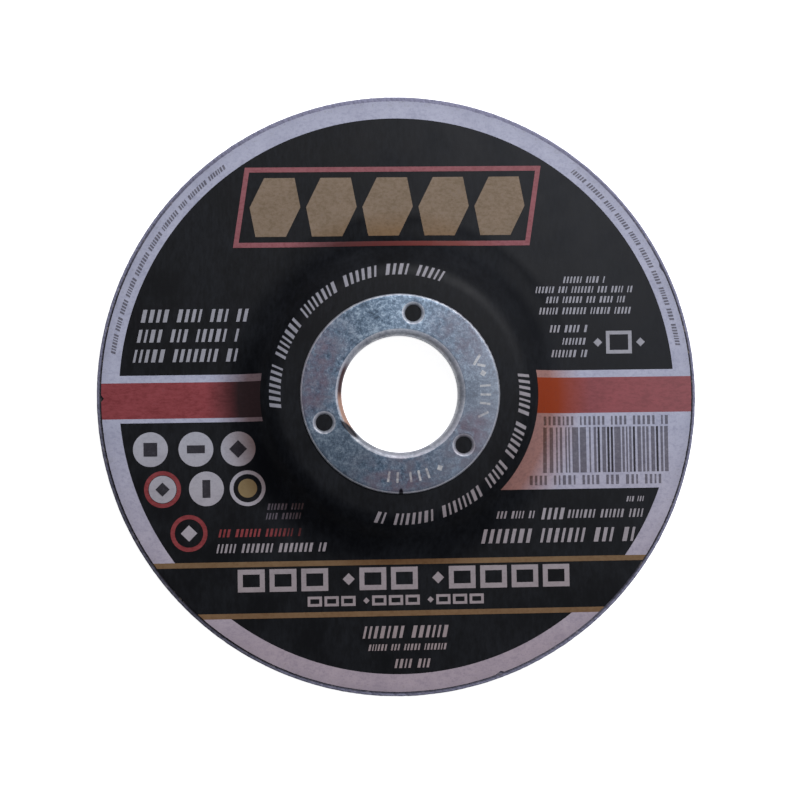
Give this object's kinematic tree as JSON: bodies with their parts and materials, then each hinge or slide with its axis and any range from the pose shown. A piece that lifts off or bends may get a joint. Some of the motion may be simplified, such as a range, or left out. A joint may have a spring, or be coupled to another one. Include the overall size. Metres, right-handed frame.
{
  "type": "grinding disc",
  "caption": "Depressed-centre grinding disc with a raised hub, a pressed-in steel bushing and a printed paper label, lying label side up.",
  "frame": {"origin": "centre of the working face, on the bore's axis, in the plane that the disc rests on", "axes": "+Z along the bore towards the label side, +Y towards the top of the label, +X to its right"},
  "size_m": [0.115, 0.115, 0.0083],
  "materials": {
    "bonded_abrasive": "rough, gritty",
    "zinc_plated_steel": "zinc plated, satin",
    "label_paper": "printed black, semi-gloss",
    "glass_fibre": "woven, resin coated",
    "silver_ink": "silver-grey ink, semi-gloss",
    "red_ink": "red ink, semi-gloss",
    "gold_ink": "gold-brown ink, semi-gloss"
  },
  "bodies": {
    "root": {"abrasive_body": "bonded_abrasive", "steel_bushing": "zinc_plated_steel", "paper_label": "label_paper", "glass_net": "glass_fibre", "print_silver": "silver_ink", "print_red": "red_ink", "print_gold": "gold_ink"}
  },
  "joints": []
}
